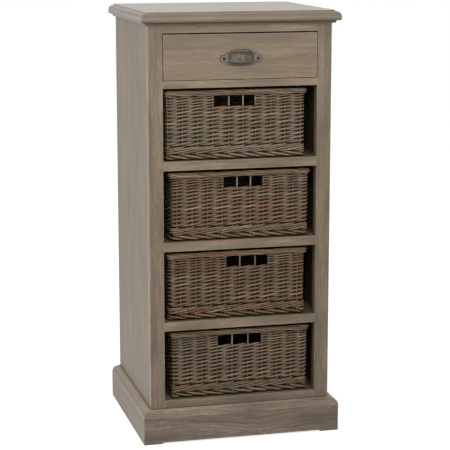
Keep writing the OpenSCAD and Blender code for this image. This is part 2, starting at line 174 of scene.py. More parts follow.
def stretched(tree, vector, fineness):
    made = put(tree, "Mapping", {"Vector": vector, "Scale": fineness}, vector_type="POINT")
    return made.outputs[0]


def layer(tree, vector, fineness, detail, roughness=0.5):
    """Noise with so many waves to the metre along each of the three ways."""
    return noise(tree, stretched(tree, vector, fineness), 1.0, detail, roughness)


def ranged(tree, value, low, high, to_low=0.0, to_high=1.0, smooth=False):
    made = put(
        tree, "MapRange", {0: value, 1: low, 2: high, 3: to_low, 4: to_high},
        interpolation_type="SMOOTHSTEP" if smooth else "LINEAR",
    )
    return made.outputs[0]


def levelness(tree, flat, radius, samples):
    """1 where the surface is level for so far around, less near its edges."""
    rounded = put(tree, "Bevel", {"Radius": radius}, samples=samples).outputs[0]
    return vector_maths(tree, "DOT_PRODUCT", rounded, flat, output="Value")


def openness(tree, distance, samples):
    """1 out in the open, 0 deep in a corner or hollow."""
    return put(tree, "AmbientOcclusion", {"Distance": distance}, samples=samples).outputs["AO"]


def bumped(tree, strength, distance, height):
    made = put(tree, "Bump", {"Strength": strength, "Distance": distance, "Height": height})
    return made.outputs[0]


def finish_surface(tree, sockets):
    shader = put(tree, "BsdfPrincipled", sockets)
    put(tree, "OutputMaterial", {"Surface": shader.outputs[0]})


stave_w = 0.066
stave_apart = 7.0
grain_bend = 0.035
rubbed_r, corner_r = 0.0024, 0.006
wood_bump = 0.0005
olive_cast, pink_cast = (0.982, 1.014, 0.948, 1), (1.020, 0.986, 1.026, 1)
front_light_cast = (1.02, 0.985, 0.95, 1)
corner_shade = (0.50, 0.43, 0.36, 1)
pull_shadow_colour = (0.016, 0.010, 0.006, 1)


def oak_material(
    name, colours, wax, wear, shine, figure=1.0, gloss=0.5, relief=0.2, patches=1.0,
    top_polish_front_light=False, pull_shadow=None,
):
    """colours: dark, middle and pale wood. wax and wear: colour of the pores and edges.
    shine: roughness. figure: how far the year rings bend. patches: how much the tone
    changes from place to place. top_polish_front_light: the face that looks up is polished
    by use, and the front edge is painted browner, as the light that falls on it from the
    front. pull_shadow: x and z of a painted shadow under the cup pull, and half its width
    and height."""
    material = new_material(name)
    tree = material.node_tree
    grain = put(tree, "Attribute", {}, attribute_name="grain").outputs["Vector"]
    tone = put(tree, "Attribute", {}, attribute_name="tone").outputs["Fac"]
    ways = put(tree, "SeparateXYZ", {0: grain})
    along, across, through = ways.outputs
    # Each stave is cut from another place in the log
    stave = maths(tree, "FLOOR", maths(tree, "DIVIDE", across, stave_w))
    luck = put(tree, "TexWhiteNoise", {"W": stave}, noise_dimensions="1D").outputs[0]
    elsewhere = maths(tree, "MULTIPLY_ADD", luck, stave_apart, along)
    cut = put(tree, "CombineXYZ", {0: elsewhere, 1: across, 2: through}).outputs[0]
    # Slow bends that carry all finer lines with them
    bend = put(tree, "TexNoise", {
        "Vector": stretched(tree, cut, (3.5, 11, 11)), "Scale": 1.0, "Detail": 2.0,
    })
    centred = vector_maths(tree, "SUBTRACT", bend.outputs[1], (0.5, 0.5, 0.5))
    sideways = grain_bend * figure
    bent = vector_maths(tree, "MULTIPLY_ADD", centred, (0.0, sideways, sideways), cut)
    # Year rings, three sizes of lines from streaks down to pores, and slow clouds
    rings = put(
        tree, "TexWave",
        {"Vector": stretched(tree, bent, (0.6, 60, 60)), "Scale": 1.0, "Distortion": 6.0,
         "Detail": 3.0, "Detail Scale": 1.2, "Detail Roughness": 0.6},
        wave_type="BANDS", bands_direction="DIAGONAL",
    ).outputs["Fac"]
    streaks = layer(tree, bent, (11, 230, 230), 5.0, 0.66)
    fibres = layer(tree, bent, (24, 700, 700), 3.0, 0.6)
    pores = layer(tree, bent, (60, 1700, 1700), 1.0)
    clouds = layer(tree, bent, (7, 34, 34), 3.0, 0.55)
    ring_share = maths(tree, "MULTIPLY", rings, 0.07 * figure)
    depth = maths(tree, "MULTIPLY_ADD", streaks, 0.62, ring_share)
    depth = maths(tree, "MULTIPLY_ADD", fibres, 0.28, depth)
    ramp = put(tree, "ValToRGB", {0: ranged(tree, depth, 0.33, 0.68)})
    ramp.color_ramp.elements[0].color = (*colours[0], 1)
    ramp.color_ramp.elements[1].color = (*colours[2], 1)
    ramp.color_ramp.elements.new(0.5).color = (*colours[1], 1)
    wood = ramp.outputs[0]
    # Grey-white wax in the open pores and in short flecks, more of it in some places
    open_pore = ranged(tree, pores, 0.60, 0.72, smooth=True)
    waxed = maths(tree, "MULTIPLY", open_pore, ranged(tree, clouds, 0.40, 0.62, 0.10, 0.55))
    wood = mix(tree, waxed, wood, (*wax, 1))
    flecks = ranged(tree, layer(tree, bent, (45, 620, 620), 2.0), 0.60, 0.70)
    fleck_share = ranged(tree, clouds, 0.42, 0.62, 0.08, 0.4 * patches)
    wood = mix(tree, maths(tree, "MULTIPLY", flecks, fleck_share), wood, (*wax, 1))
    # Each stave has its own tone, with slow clouds over it, and "tone" adds the painted light and
    # shade
    light = ranged(tree, luck, 0.0, 1.0, 0.93, 1.05)
    swing = 0.16 * patches
    cloudy = ranged(tree, clouds, 0.32, 0.68, 1 - swing, 1 + swing)
    light = maths(tree, "MULTIPLY", light, cloudy)
    wood = times(tree, wood, maths(tree, "MULTIPLY", light, tone))
    # Some parts of a board lean to olive and some to pink
    hue = ranged(tree, layer(tree, cut, (5, 26, 26), 2.0), 0.36, 0.64)
    cast = mix(tree, hue, olive_cast, pink_cast)
    wood = mix(tree, 1.0, wood, cast, "MULTIPLY")
    flat = put(tree, "NewGeometry", {}).outputs["Normal"]
    if top_polish_front_light:
        facing = put(tree, "SeparateXYZ", {0: flat})
        gloss = ranged(tree, facing.outputs[2], 0.6, 0.95, 0.30, gloss)
        # Painted light: the faces that look to the front are painted browner
        front_lit_wood = mix(tree, 1.0, wood, front_light_cast, "MULTIPLY")
        wood = mix(tree, ranged(tree, facing.outputs[1], -0.2, -0.8), wood, front_lit_wood)
    # Edges rubbed pale
    level = levelness(tree, flat, rubbed_r, samples=4)
    rubbed = ranged(tree, level, 0.995, 0.91, smooth=True)
    patchy = ranged(tree, noise(tree, grain, 60.0, 3.0), 0.38, 0.62, 0.25, 1.0)
    wood = mix(tree, maths(tree, "MULTIPLY", rubbed, patchy), wood, (*wear, 1))
    # Painted shade: corners and the hollows of the mouldings are darkened brown
    corner_shaded = mix(tree, 1.0, wood, corner_shade, "MULTIPLY")
    clear = ranged(tree, openness(tree, corner_r, samples=4), 0.40, 0.85, smooth=True)
    wood = mix(tree, clear, corner_shaded, wood)
    # Painted shadow of the cup pull on the wood below it
    if pull_shadow:
        shadow_x, shadow_z, half_w, half_h = pull_shadow
        place = put(tree, "TexCoord", {}).outputs["Object"]
        apart = vector_maths(tree, "SUBTRACT", place, (shadow_x, 0, shadow_z))
        share = vector_maths(tree, "MULTIPLY", apart, (1 / half_w, 0, 1 / half_h))
        reach = vector_maths(tree, "LENGTH", share, output="Value")
        in_pull_shadow = ranged(tree, reach, 0.55, 1.15, 0.85, 0.0, smooth=True)
        wood = mix(tree, in_pull_shadow, wood, pull_shadow_colour)
    height = maths(tree, "MULTIPLY_ADD", open_pore, -0.7, fibres)
    height = maths(tree, "MULTIPLY_ADD", streaks, 0.8, height)
    finish_surface(tree, {
        "Base Color": wood,
        "Roughness": ranged(tree, streaks, 0.3, 0.7, shine - 0.05, shine + 0.09),
        "Normal": bumped(tree, relief, wood_bump, height),
        "Specular IOR Level": gloss,
    })
    return material


limed_colours = ((0.164, 0.116, 0.072), (0.212, 0.155, 0.100), (0.266, 0.200, 0.134))
# The top and the sides get a greyer, paler copy of the oak's colours: painted light, for the light
# that falls on them from above and from the left.
side_painted_light_colours = ((0.186, 0.145, 0.104), (0.211, 0.167, 0.122), (0.240, 0.194, 0.145))
limed_wax = (0.38, 0.335, 0.265)
limed_wear = (0.40, 0.33, 0.24)
limed = oak_material("limed_oak", limed_colours, limed_wax, limed_wear, shine=0.44, patches=1.7)
limed_top = oak_material(
    "limed_oak_top", side_painted_light_colours, limed_wax, limed_wear, shine=0.30,
    gloss=0.75, relief=0.1, patches=0.45, top_polish_front_light=True,
)
limed_side_painted_light = oak_material(
    "limed_oak_side_painted_light", side_painted_light_colours, limed_wax, limed_wear, shine=0.52,
    gloss=0.4, relief=0.05, patches=0.8,
)


merge_gap = 0.00001
flat_angle, bevel_angle, smooth_angle = math.radians(1), math.radians(40), math.radians(20)
log_staves, log_length, log_depth = 400, 40, 1


def dress_board(
    node, material, along, across, tone=1.0, edge=0.0006, joint=None, body="cabinet",
):
    """A bevelled copy of a board that stands for its node. along and across are axes. tone is
    one number, or sets of an axis, shares of the board's size along it and the tones there.
    joint: where a joint between two staves lies across the board."""
    board = bpy.data.objects.new(node + "_board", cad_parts[node].data.copy())
    scene.collection.objects.link(board)
    bpy.context.view_layer.objects.active = board
    board.select_set(True)
    bpy.ops.object.mode_set(mode="EDIT")
    bpy.ops.mesh.select_all(action="SELECT")
    bpy.ops.mesh.remove_doubles(threshold=merge_gap)
    bpy.ops.mesh.dissolve_limited(angle_limit=flat_angle)
    bpy.ops.object.mode_set(mode="OBJECT")
    if board.data.has_custom_normals:
        bpy.ops.mesh.customdata_custom_splitnormals_clear()
    bevel = board.modifiers.new("edge", "BEVEL")
    bevel.width = edge
    bevel.segments = 2
    bevel.limit_method = "ANGLE"
    bevel.angle_limit = bevel_angle
    bpy.ops.object.modifier_apply(modifier="edge")
    bpy.ops.object.shade_smooth_by_angle(angle=smooth_angle)
    board.select_set(False)

    # Each board is cut from its own place in the log
    through = 3 - along - across
    luck = random.Random("grain " + node)
    low, high = (np.array(corner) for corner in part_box(node))
    width = high[across] - low[across]
    if joint is not None:
        start = -joint
    elif width < stave_w:
        start = (stave_w - width) / 2 - low[across]
    else:
        start = luck.uniform(0, stave_w) - low[across]
    start += stave_w * luck.randrange(log_staves)
    places = np.empty(len(board.data.vertices) * 3, np.float32)
    board.data.vertices.foreach_get("co", places)
    places = places.reshape(-1, 3)
    grain = np.stack([
        places[:, along] + luck.uniform(0, log_length),
        places[:, across] + start,
        places[:, through] + luck.uniform(0, log_depth),
    ], axis=1)
    kept_grain = board.data.attributes.new("grain", "FLOAT_VECTOR", "POINT")
    kept_grain.data.foreach_set("vector", grain.ravel())

    several = isinstance(tone, list)
    tones = np.full(len(places), 1.0 if several else tone, np.float32)
    for axis, shares, levels in tone if several else []:
        share = (places[:, axis] - low[axis]) / (high[axis] - low[axis])
        tones *= np.interp(share, shares, levels).astype(np.float32)
    board.data.attributes.new("tone", "FLOAT", "POINT").data.foreach_set("value", tones)
    board.data.materials.clear()
    board.data.materials.append(material)
    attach(board, body)
    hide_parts(node)


X, Y, Z = 0, 1, 2

# Top board
# One glued board with a moulded nose on the front and both sides, screwed on from below.
# The nose is painted darkest below, as the shade under it, and pale along its middle, as a
# highlight. Its top face is painted paler still, as the light from above.
top_tones = [
    (Z, (0, 0.21, 0.30, 0.515, 0.57, 0.90, 0.97, 1),
     (0.36, 0.42, 0.64, 1.20, 0.86, 0.98, 1.02, 1.30)),
    (Y, (0, 1), (1.12, 0.98)),
    (X, (0, 0.014, 0.022, 1), (0.89, 0.89, 1, 1)),
]
top_joint_y = -0.06
dress_board(
    "top_board", limed_top, X, Y, top_tones, edge=0.0007, joint=top_joint_y,
)

# Side panels and face frame
# The sides' grain is upright, and they are painted darker towards the inside, as shade.
# The stiles and rails are glued flush over the front edges of the sides and shelves. The
# stiles are paler at their outer edges, and painted darker at their inner edges and
# towards the bottom, as shade.
left_tones, right_tones = [(X, (0, 1), (0.98, 0.5))], [(X, (0, 1), (0.5, 0.98))]
dress_board("side_panel_left", limed_side_painted_light, Z, Y, left_tones, edge=0.0008)
dress_board("side_panel_right", limed_side_painted_light, Z, Y, right_tones, edge=0.0008)
stile_shares = (0, 0.015, 0.985, 1)
left_tones = [(X, stile_shares, (1.4, 1, 1, 0.8)), (Z, (0, 1), (0.67, 0.86))]
right_tones = [(X, stile_shares, (0.8, 1, 1, 1.15)), (Z, (0, 1), (0.775, 0.975))]
dress_board("stile_left", limed, Z, X, left_tones, edge=0.0006)
dress_board("stile_right", limed, Z, X, right_tones, edge=0.0006)
# The bottom rail is painted darkest, as the shade low on the front.
for node, tone in (("top_rail", 0.91), ("drawer_rail", 1.04), ("bottom_rail", 0.86)):
    dress_board(node, limed, X, Z, tone, edge=0.0004)

# Shelves
# Each is glued up from staves and housed in the sides, its front edge flush with the
# stiles.
# The lower shelves are painted darker, as shade.
for node, tone in (
    ("shelf_upper", 1.01), ("shelf_middle", 1.01), ("shelf_lower", 0.95), ("bottom_shelf", 0.92),
):
    dress_board(node, limed, X, Y, tone, edge=0.0005)

# Plinth
# Three moulded boards, mitred at the front corners and glued to the carcass, with a
# stretcher across the back. Their moulding is painted pale in two lines, as highlights.
figured_colours = ((0.100, 0.070, 0.048), (0.150, 0.110, 0.076), (0.208, 0.160, 0.116))
figured = oak_material(
    "limed_oak_figured", figured_colours, limed_wax, limed_wear, shine=0.44,
    figure=1.6, patches=1.8,
)
plinth_tones = [
    (Z, (0, 0.807, 0.816, 0.826, 0.845, 0.93, 0.975, 1),
     (0.96, 0.98, 1.8, 1.8, 1.08, 1.08, 1.7, 1.7)),
]
dress_board("plinth_front", figured, X, Z, plinth_tones, edge=0.0008)
dress_board("plinth_left", limed_side_painted_light, Y, Z, plinth_tones, edge=0.0008)
dress_board("plinth_right", limed_side_painted_light, Y, Z, plinth_tones, edge=0.0008)
dress_board("back_stretcher", limed, X, Z, 0.95, edge=0.0008)

# Plain inner parts
# Runners, kickers, stops and glue blocks are unfinished pine, glued and pinned inside.
pine_colours = ((0.36, 0.245, 0.135), (0.47, 0.335, 0.195), (0.58, 0.44, 0.28))
pine_resin = (0.42, 0.27, 0.14)
pine_edge = (0.62, 0.49, 0.33)
pine = oak_material("plain_pine", pine_colours, pine_resin, pine_edge, shine=0.55, figure=1.3)
for side in ("left", "right"):
    dress_board("runner_" + side, pine, Y, X, 0.97, edge=0.0006)
    dress_board("kicker_" + side, pine, Y, X, 0.94, edge=0.0006)
dress_board("glue_blocks", pine, Z, X, 0.92, edge=0.0008)
dress_board("drawer_stops", pine, X, Y, 1.0, edge=0.0005)

# Back panel
# A thin sheet with a brown oak face, screwed into the rebates of the sides.
sheet_colours = ((0.20, 0.135, 0.082), (0.27, 0.19, 0.12), (0.34, 0.25, 0.165))
sheet_pores = (0.22, 0.15, 0.09)
sheet_edge = (0.42, 0.31, 0.20)
sheet_oak = oak_material(
    "back_sheet", sheet_colours, sheet_pores, sheet_edge, shine=0.5, figure=1.5,
)
dress_board("back_panel", sheet_oak, Z, X, 1.0, edge=0.0003)

# Drawer
# A solid front of two glued staves over a plain pine box, with a thin sheet as its bottom.
# The front has a painted shadow under the cup pull.
drawer_joint_z = 0.8698
screws_low, screws_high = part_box("pull_screws")
pull_shadow_x, pull_shadow_z = -0.0015, (screws_low.z + screws_high.z) / 2 - 0.0115
pull_shadow_half_w, pull_shadow_half_h = 0.037, 0.0062
drawer_colours = ((0.169, 0.119, 0.073), (0.218, 0.158, 0.101), (0.274, 0.203, 0.135))
pull_shadowed_oak = oak_material(
    "limed_oak_pull_shadow", drawer_colours, limed_wax, limed_wear, shine=0.44,
    figure=0.6, patches=0.9, pull_shadow=(pull_shadow_x, pull_shadow_z, pull_shadow_half_w, pull_shadow_half_h),
)
drawer_tones = [(Z, (0, 1), (1.02, 0.82)), (X, (0, 1), (0.96, 1.14))]
dress_board(
    "drawer_front", pull_shadowed_oak, X, Z, drawer_tones, edge=0.0011,
    joint=drawer_joint_z, body="drawer",
)
for side in ("left", "right"):
    dress_board("drawer_side_" + side, pine, Y, Z, 1.02, edge=0.0008, body="drawer")
dress_board("drawer_back", pine, X, Z, 1.0, edge=0.0008, body="drawer")
dress_board("drawer_bottom", pine, X, Y, 1.05, edge=0.0003, body="drawer")


# Screws
# Dull dark steel, a little paler in spots. They hold the top board, the back sheet and
# the cup pull.
def give_material(node, material):
    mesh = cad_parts[node].data
    mesh.materials.clear()
    mesh.materials.append(material)


steel_dark, steel_pale = (0.006, 0.005, 0.004, 1), (0.020, 0.016, 0.012, 1)
steel = new_material("dark_steel")
tree = steel.node_tree
place = put(tree, "TexCoord", {}).outputs["Object"]
spots = noise(tree, place, 900.0, 4.0, 0.6)
finish_surface(tree, {
    "Base Color": mix(tree, ranged(tree, spots, 0.35, 0.7), steel_dark, steel_pale),
    "Metallic": 0.1,
    "Roughness": ranged(tree, spots, 0.3, 0.7, 0.50, 0.74),
    "Normal": bumped(tree, 0.3, 0.0001, spots),
    "Specular IOR Level": 0.25,
})
for node in ("top_screws", "back_screws", "pull_screws"):
    give_material(node, steel)

# Cup pull
# Cast metal with an aged pewter finish: a paler plate with a dark outline, dark hollows,
# and the cup's edges rubbed brighter. Two screws hold it.
pewter_dark, pewter_pale = (0.092, 0.075, 0.054, 1), (0.144, 0.129, 0.102, 1)
plate_tint, plate_share = (0.23, 0.20, 0.16, 1), 0.6
rubbed_edge, black_edge = (0.25, 0.22, 0.18, 1), (0.006, 0.004, 0.003, 1)
pull_dirt = (0.020, 0.015, 0.010, 1)
plate_y = screws_low.y + 0.0015
pewter = new_material("aged_pewter")
tree = pewter.node_tree
place = put(tree, "TexCoord", {}).outputs["Object"]
blotch = noise(tree, place, 130.0, 5.0, 0.62)
pits = noise(tree, place, 1400.0, 3.0, 0.6)
tint = mix(tree, ranged(tree, blotch, 0.36, 0.66, smooth=True), pewter_dark, pewter_pale)
depth = put(tree, "SeparateXYZ", {0: place}).outputs[1]
on_plate = ranged(tree, depth, plate_y - 0.0008, plate_y - 0.0002)
tint = mix(tree, on_plate, tint, mix(tree, plate_share, tint, plate_tint))
flat = put(tree, "NewGeometry", {}).outputs["Normal"]
level = levelness(tree, flat, radius=0.0034, samples=6)
at_edge = ranged(tree, level, 0.998, 0.93, smooth=True)
at_edge = maths(tree, "MULTIPLY", at_edge, ranged(tree, on_plate, 0, 1, 0.3, 1.0))
tint = mix(tree, at_edge, tint, mix(tree, on_plate, rubbed_edge, black_edge))
clear = ranged(tree, openness(tree, distance=0.005, samples=8), 0.22, 0.80, smooth=True)
height = maths(tree, "MULTIPLY_ADD", pits, 0.35, blotch)
finish_surface(tree, {
    "Base Color": mix(tree, clear, pull_dirt, tint),
    "Metallic": 0.35,
    "Roughness": ranged(tree, blotch, 0.3, 0.7, 0.72, 0.56),
    "Normal": bumped(tree, 0.45, 0.0004, height),
})
give_material("cup_pull", pewter)


# Willow rods
# Peeled and unpeeled willow, weathered grey-brown, some rods redder. Each rod carries
# "tint", its own colour, and "run": metres along it, round it, and a number of its own.
rod_hollow_shade = (0.08, 0.025, 0.004, 1)
willow = new_material("weathered_willow")
tree = willow.node_tree
own = put(tree, "Attribute", {}, attribute_name="tint").outputs["Color"]
run = put(tree, "Attribute", {}, attribute_name="run").outputs["Vector"]
bark = layer(tree, run, (35, 900, 1), 4.0, 0.6)
patch = layer(tree, run, (14, 60, 1), 3.0, 0.55)
streaky = ranged(tree, bark, 0.3, 0.7, 0.80, 1.16)
patchy = ranged(tree, patch, 0.3, 0.7, 0.82, 1.16)
tint = times(tree, own, maths(tree, "MULTIPLY", streaky, patchy))
# Painted shade: the rods are darkened brown where they cross and in the hollows between them
hollow_shaded = mix(tree, 1.0, tint, rod_hollow_shade, "MULTIPLY")
clear = ranged(tree, openness(tree, distance=0.010, samples=4), 0.27, 0.74, smooth=True)
finish_surface(tree, {
    "Base Color": mix(tree, clear, hollow_shaded, tint),
    "Roughness": ranged(tree, bark, 0.3, 0.7, 0.50, 0.68),
    "Normal": bumped(tree, 0.4, 0.0003, bark),
    "Specular IOR Level": 0.22,
})

willow_colours = {
    "grey": (0.238, 0.186, 0.134),
    "pale": (0.310, 0.248, 0.178),
    "olive": (0.210, 0.174, 0.110),
    "tan": (0.232, 0.162, 0.105),
    "brown": (0.188, 0.128, 0.080),
    "red": (0.222, 0.134, 0.086),
}


class RodPiece:
    """Gathers the rods of one woven piece and makes one mesh of them. shades: how often each
    colour comes. blushes: x, y, z and half length of redder stretches. tone: the whole
    piece's lightness and cast."""

    lift_range, length_range = (0.86, 1.16), (0.7, 1.3)
    girth = 0.013
    blush_half_h = 0.009
    blush_cast = np.array([0.12, -0.12, -0.22])

    def __init__(self, seed, shades, blushes=(), tone=1.0):
        self.luck = random.Random(seed)
        self.shades = shades
        self.blushes = blushes
        self.tone = tone
        self.points, self.faces, self.tints, self.runs, self.count = [], [], [], [], 0

    def shade(self):
        name = self.luck.choices(list(self.shades), list(self.shades.values()))[0]
        lift = self.luck.uniform(*self.lift_range)
        return np.array(willow_colours[name]) * np.array(self.tone) * lift

    def tube(self, line, radius, sides=6, closed=True, up=(0, 0, 1), rod_length=0.55, tall=1.0):
        """One strand along the line. up: the way its height is measured. rod_length: how
        long its rods are. tall: how much higher than thick it is pressed."""
        line = np.asarray(line, float)
        count = len(line)
        tall = np.broadcast_to(np.asarray(tall, float), (count,))[:, None, None]
        if closed:
            step = np.roll(line, -1, 0) - np.roll(line, 1, 0)
        else:
            step = np.gradient(line, axis=0)
        step /= np.linalg.norm(step, axis=1)[:, None]
        across = np.cross(np.broadcast_to(np.asarray(up, float), step.shape), step)
        across /= np.linalg.norm(across, axis=1)[:, None]
        over = np.cross(step, across)
        angle = np.arange(sides) * 2 * math.pi / sides
        ring = np.cos(angle)[None, :, None] * across[:, None, :]
        ring = ring + np.sin(angle)[None, :, None] * over[:, None, :] * tall
        points = line[:, None, :] + ring * np.reshape(radius, (-1, 1, 1))
        run = np.concatenate([[0], np.cumsum(np.linalg.norm(np.diff(line, axis=0), axis=1))])
        # A strand is made of rods that end and begin along it, each with its own colour
        tints = np.empty((count, 3))
        rod_end = self.luck.uniform(0, rod_length)
        shade = self.shade()
        for k in range(count):
            if run[k] > rod_end:
                rod_end += rod_length * self.luck.uniform(*self.length_range)
                shade = self.shade()
            tints[k] = shade
        # Some stretches of the front are redder
        for x, y, z, reach in self.blushes:
            apart_x = ((line[:, 0] - x) / reach) ** 2
            near = np.exp(-apart_x - ((line[:, 2] - z) / self.blush_half_h) ** 2)
            near *= line[:, 1] < y
            tints *= 1 + near[:, None] * self.blush_cast
        runs = np.stack([
            np.repeat(run, sides),
            np.tile(angle / (2 * math.pi) * self.girth, count),
            np.full(count * sides, self.luck.uniform(0, 500)),
        ], axis=1)
        base = self.count
        first = base + (np.arange(count if closed else count - 1) * sides)[:, None]
        here = np.arange(sides)[None, :]
        after = (here + 1) % sides
        second = base + ((np.arange(len(first)) + 1) % count * sides)[:, None]
        quads = [first + here, first + after, second + after, second + here]
        self.faces.extend(np.stack(quads, axis=2).reshape(-1, 4).tolist())
        if not closed:
            last = base + (count - 1) * sides
            self.faces.append([base + k for k in range(sides)][::-1])
            self.faces.append([last + k for k in range(sides)])
        self.points.append(points.reshape(-1, 3))
        self.tints.append(np.repeat(tints, sides, axis=0))
        self.runs.append(runs)
        self.count += count * sides

    def finish(self, name, body, node):
        mesh = bpy.data.meshes.new(name)
        mesh.from_pydata(np.concatenate(self.points).tolist(), [], self.faces)
        tints = np.concatenate(self.tints)
        tints = np.concatenate([tints, np.ones((len(tints), 1))], axis=1).astype(np.float32)
        kept_tint = mesh.attributes.new("tint", "FLOAT_COLOR", "POINT")
        kept_tint.data.foreach_set("color", tints.ravel())
        runs = np.concatenate(self.runs).astype(np.float32)
        kept_run = mesh.attributes.new("run", "FLOAT_VECTOR", "POINT")
        kept_run.data.foreach_set("vector", runs.ravel())
        mesh.polygons.foreach_set("use_smooth", [True] * len(mesh.polygons))
        mesh.materials.append(willow)
        piece = bpy.data.objects.new(name, mesh)
        scene.collection.objects.link(piece)
        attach(piece, body)
        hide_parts(node)


# Baskets
# Four alike, each woven on upright stakes: a border plaited to the right as its foot, two
# rounds of three-rod waling, pairing up to the rim with a bare hand hole in front, and a
# rolled rim. Sizes are in metres from the middle of the basket's foot.
class RoundedPath:
    """A rectangle with round corners, from the middle of the front to the right."""

    corner_steps = 12

    def __init__(self, width, depth, corner):
        half_w, half_d = width / 2, depth / 2
        points, normals = [(0, -half_d)], [(0, -1)]
        for x, y, start in (
            (half_w - corner, -half_d + corner, -90), (half_w - corner, half_d - corner, 0),
            (corner - half_w, half_d - corner, 90), (corner - half_w, -half_d + corner, 180),
        ):
            for k in range(self.corner_steps + 1):
                angle = math.radians(start + 90 * k / self.corner_steps)
                normals.append((math.cos(angle), math.sin(angle)))
                points.append((x + corner * normals[-1][0], y + corner * normals[-1][1]))
        points.append(points[0])
        normals.append(normals[0])
        self.points, self.normals = np.array(points), np.array(normals)
        lengths = np.linalg.norm(np.diff(self.points, axis=0), axis=1)
        self.reach = np.concatenate([[0], np.cumsum(lengths)])
        self.length = self.reach[-1]

    def at(self, run):
        """The points so far along the path, and the ways that look outwards there."""
        run = np.mod(run, self.length)
        place = [np.interp(run, self.reach, self.points[:, k]) for k in (0, 1)]
        out = [np.interp(run, self.reach, self.normals[:, k]) for k in (0, 1)]
        size = np.hypot(*out)
        return np.stack(place, 1), np.stack([out[0] / size, out[1] / size], 1)


basket_h = 0.1525
wall = RoundedPath(0.3045, 0.3005, 0.0045)
wall_mid_z, wall_slope = 0.0853, 0.002 / 0.1085
foot_top, foot_bend_z, foot_pull = 0.031, 0.024, 0.001
stakes_between = 33
stake_play = 0.0014
points_per_stake = 8


def lean(z):
    """How far the wall stands out from its path at height z."""
    z = np.asarray(z, float)
    on_wall = (z - wall_mid_z) * wall_slope
    on_foot = np.interp(z, (0, foot_bend_z, foot_top), (0, 0, -foot_pull))
    return np.where(z < foot_top, on_foot, on_wall)


def moved(flat, z, middle):
    """A line over points of the plan, at height z, in its basket's place."""
    heights = np.broadcast_to(z, len(flat)) + middle[2]
    return np.stack([flat[:, 0] + middle[0], flat[:, 1] + middle[1], heights], axis=1)


def placed(run, out, z, middle):
    """A line along the wall, so far out from it."""
    place, normal = wall.at(run)
    return moved(place + normal * (out + lean(z))[:, None], z, middle)


def slow_wave(luck, size, waves):
    """A smooth closed wobble along the wall, of about that size."""
    parts = [(luck.uniform(0.4, 1), k, luck.uniform(0, 2 * math.pi)) for k in waves]
    total = sum(part[0] for part in parts)
    return lambda run: sum(
        size / total * a * np.sin(2 * math.pi * k * run / wall.length + shift)
        for a, k, shift in parts
    )


basket_shades = (
    {"grey": 5, "pale": 2.0, "olive": 3.0, "tan": 1.5, "brown": 1.0},
    {"grey": 1, "pale": 1.0, "tan": 6.0, "brown": 2.0, "red": 0.6},
    {"grey": 1, "pale": 0.6, "tan": 6.0, "brown": 2.6, "red": 0.8},
    {"grey": 3, "pale": 0.7, "olive": 1.5, "tan": 4.0, "brown": 1.8},
)
# Each hand hole: its middle, half its width between the stakes beside it, the middle and
# the gap of the two bare stakes that cross it
holes = (
    (-0.0035, 0.0485, 0.0001, 0.0318), (0.0072, 0.0472, 0.0090, 0.0306),
    (0.0214, 0.0501, 0.0229, 0.0350), (-0.0014, 0.0529, 0.0001, 0.0365),
)
# How light the weave, the rim and the foot of each basket are, and the cast of its colour
tones = ((1.01, 0.78, 1.05), (0.95, 0.93, 0.96), (0.885, 0.93, 0.91), (0.94, 0.79, 0.84))
casts = ((1.01, 1.0, 0.98), (1.02, 0.98, 0.94), (1.01, 0.94, 0.88), (1.0, 0.99, 0.95))
# Redder stretches: place across the front, height and half length
red_stretches = (
    ((-0.010, 0.106, 0.045), (-0.005, 0.147, 0.040)),
    ((-0.098, 0.147, 0.030), (0.060, 0.070, 0.030)),
    ((-0.040, 0.147, 0.045), (-0.085, 0.010, 0.040)),
    ((-0.118, 0.028, 0.034), (0.080, 0.090, 0.030)),
)
front_depth = 0.1


class Basket:
    """One basket's place, colours and stakes, and the luck of its weaver."""

    def __init__(self, number):
        self.number = number
        self.body = f"basket_{number}"
        low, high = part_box(self.body + "_foot")
        self.middle = x, y, z = (low.x + high.x) / 2, (low.y + high.y) / 2, low.z
        self.luck = random.Random(100 + number)
        self.shades = basket_shades[number - 1]
        light = np.outer(tones[number - 1], casts[number - 1])
        self.wall_tone, self.rim_tone, self.foot_tone = light
        self.blushes = [
            (x + right, y - front_depth, z + up, reach)
            for right, up, reach in red_stretches[number - 1]
        ]
        # Four stakes are fixed by the hand hole, the others spread round the wall
        hole, half, bare, bare_gap = holes[number - 1]
        runs = [hole - half, bare - bare_gap / 2, bare + bare_gap / 2, hole + half]
        gap = (wall.length - 2 * half) / stakes_between
        runs += [
            hole + half + gap * k + self.luck.uniform(-stake_play, stake_play)
            for k in range(1, stakes_between)
        ]
        self.stakes = np.array(runs)
        self.count = len(runs)

    def run_at(self, turn):
        """Where on the wall a strand is after so many stakes."""
        rounds = np.floor_divide(turn, self.count)
        marks = np.append(self.stakes, self.stakes[0] + wall.length)
        run = np.interp(turn - rounds * self.count, np.arange(self.count + 1), marks)
        return run + rounds * wall.length


# Basket stakes
# Stout straight rods, a little thinner at the top, that stand in the foot and go up into
# the rim. Two of them cross the hand hole bare.
stake_r = 0.0017
stake_low_z, stake_high_z = 0.004, basket_h - 0.006
stake_points = 12


def set_stakes(basket):
    uprights = RodPiece(f"uprights {basket.number}", {"pale": 3, "grey": 2})
    z = np.linspace(stake_low_z, stake_high_z, stake_points)
    radius = np.linspace(stake_r * 1.15, stake_r * 0.9, stake_points)
    for run in basket.stakes:
        line = placed(np.full(stake_points, run), np.zeros(stake_points), z, basket.middle)
        normal = wall.at(np.array([run]))[1][0]
        uprights.tube(line, radius, closed=False, up=(normal[0], normal[1], 0))
    uprights.finish(basket.body + "_uprights", basket.body, basket.body + "_stakes")


